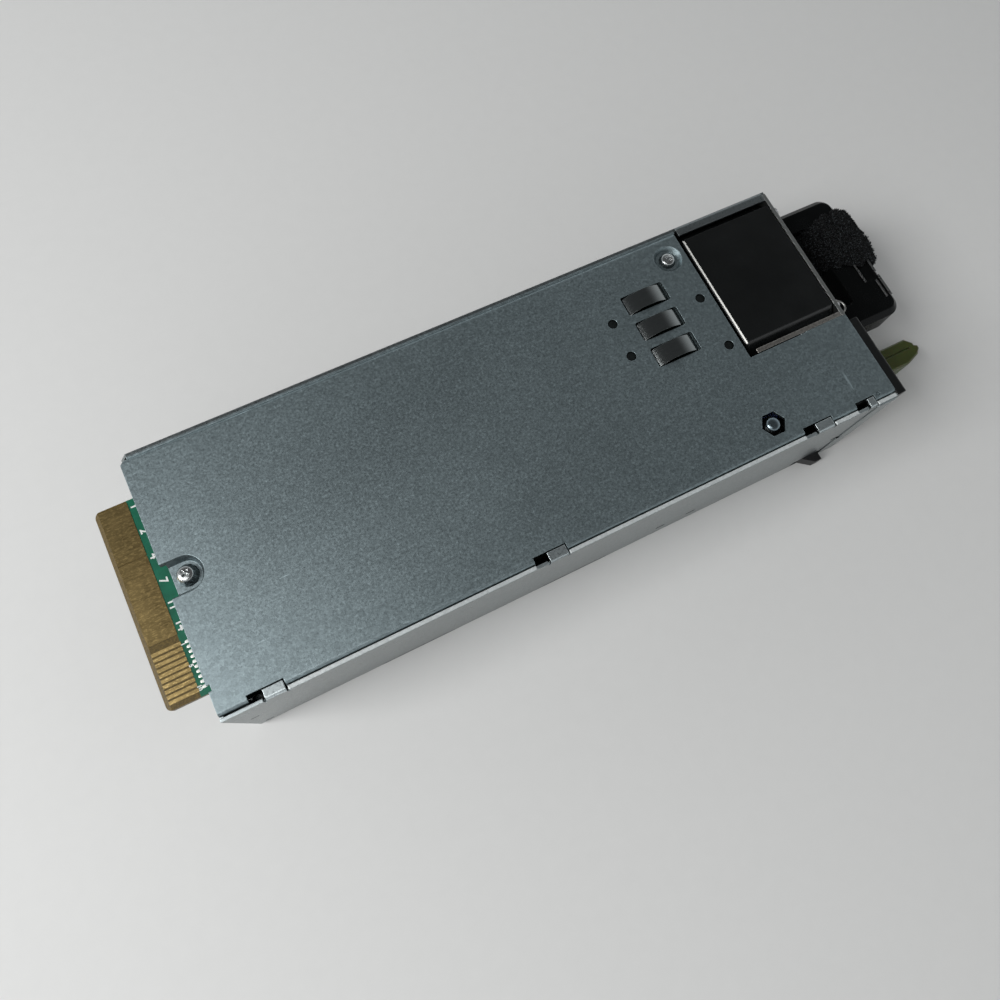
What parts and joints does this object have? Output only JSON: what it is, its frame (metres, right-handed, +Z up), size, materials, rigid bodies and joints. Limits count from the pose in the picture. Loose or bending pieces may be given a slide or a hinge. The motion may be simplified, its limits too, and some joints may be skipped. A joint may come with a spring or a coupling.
{
  "type": "hot swap server power supply",
  "caption": "Hot-swap server power supply module: sheet-metal case with card-edge output, end fan, mains inlet, loop handle, side latch and release tab.",
  "frame": {"origin": "centre of the bounding box's footprint, on the resting face of the case", "axes": "+X along the case from the card edge to the handle, +Y across the case away from the latch, +Z up"},
  "size_m": [0.235, 0.0706, 0.0412],
  "materials": {
    "galvanised steel sheet": "satin",
    "cover steel sheet": "satin",
    "zinc screw": "satin",
    "standoff brass": "satin",
    "stud steel": "satin",
    "spring steel": "gloss",
    "rivet steel": "satin",
    "board laminate": "satin",
    "contact gold": "gloss",
    "capacitor sleeve": "gloss",
    "ferrite": "matte",
    "winding tape": "satin",
    "winding copper": "gloss",
    "heatsink aluminium": "satin",
    "film capacitor": "satin",
    "can aluminium": "satin",
    "insulating sheet": "matte",
    "post steel": "satin",
    "lead insulation": "satin",
    "fan plastic": "satin",
    "shaft steel": "gloss",
    "bearing steel": "gloss",
    "stator copper": "satin",
    "black screw": "gloss",
    "panel steel": "satin",
    "black moulding": "satin",
    "lamp lens": "gloss",
    "contact brass": "gloss",
    "handle plastic": "satin",
    "strap fabric": "matte",
    "lever steel": "satin",
    "tab plastic": "satin",
    "pin steel": "satin",
    "wire steel": "gloss"
  },
  "bodies": {
    "chassis": {"bottom_tray": "galvanised steel sheet", "top_cover": "cover steel sheet", "cover_screws": "zinc screw", "board_standoffs": "standoff brass", "hex_stud": "stud steel", "ground_spring": "spring steel", "spring_rivets": "rivet steel", "main_board": "board laminate", "power_contacts": "contact gold", "signal_contacts": "contact gold", "bulk_capacitor": "capacitor sleeve", "main_transformer": "ferrite", "transformer_winding": "winding tape", "pfc_choke": "winding copper", "mains_choke": "winding copper", "output_choke": "winding copper", "primary_heatsink": "heatsink aluminium", "output_heatsink": "heatsink aluminium", "mains_capacitor": "film capacitor", "output_capacitors": "can aluminium", "insulating_sheet": "insulating sheet", "board_posts": "post steel", "inlet_leads": "lead insulation", "fan_lead": "lead insulation", "fan_frame": "fan plastic", "fan_bearings": "bearing steel", "fan_stator": "stator copper", "fan_screws": "black screw", "end_panel": "panel steel", "inlet_divider": "galvanised steel sheet", "bezel": "black moulding", "status_lamp": "lamp lens", "inlet_housing": "black moulding", "inlet_pins": "contact brass", "handle": "handle plastic", "handle_screws": "black screw", "cable_strap": "strap fabric", "latch_pin": "pin steel"},
    "fan": {"fan_rotor": "fan plastic", "fan_shaft": "shaft steel"},
    "latch": {"latch_lever": "lever steel", "release_tab": "tab plastic", "latch_spring": "wire steel"}
  },
  "joints": [
    {"name": "fan_spin", "type": "hinge", "parent": "chassis", "child": "fan", "pos_m": [0.0595, 0.01375, 0.02], "axis": [1, 0, 0], "continuous": true},
    {"name": "latch_press", "type": "hinge", "parent": "chassis", "child": "latch", "pos_m": [0.0405, -0.0273, 0.003], "axis": [0, 0, 1], "range_deg": [0, 5], "stiffness_Nm_per_rad": 0.6, "springref_deg": -20.05}
  ]
}
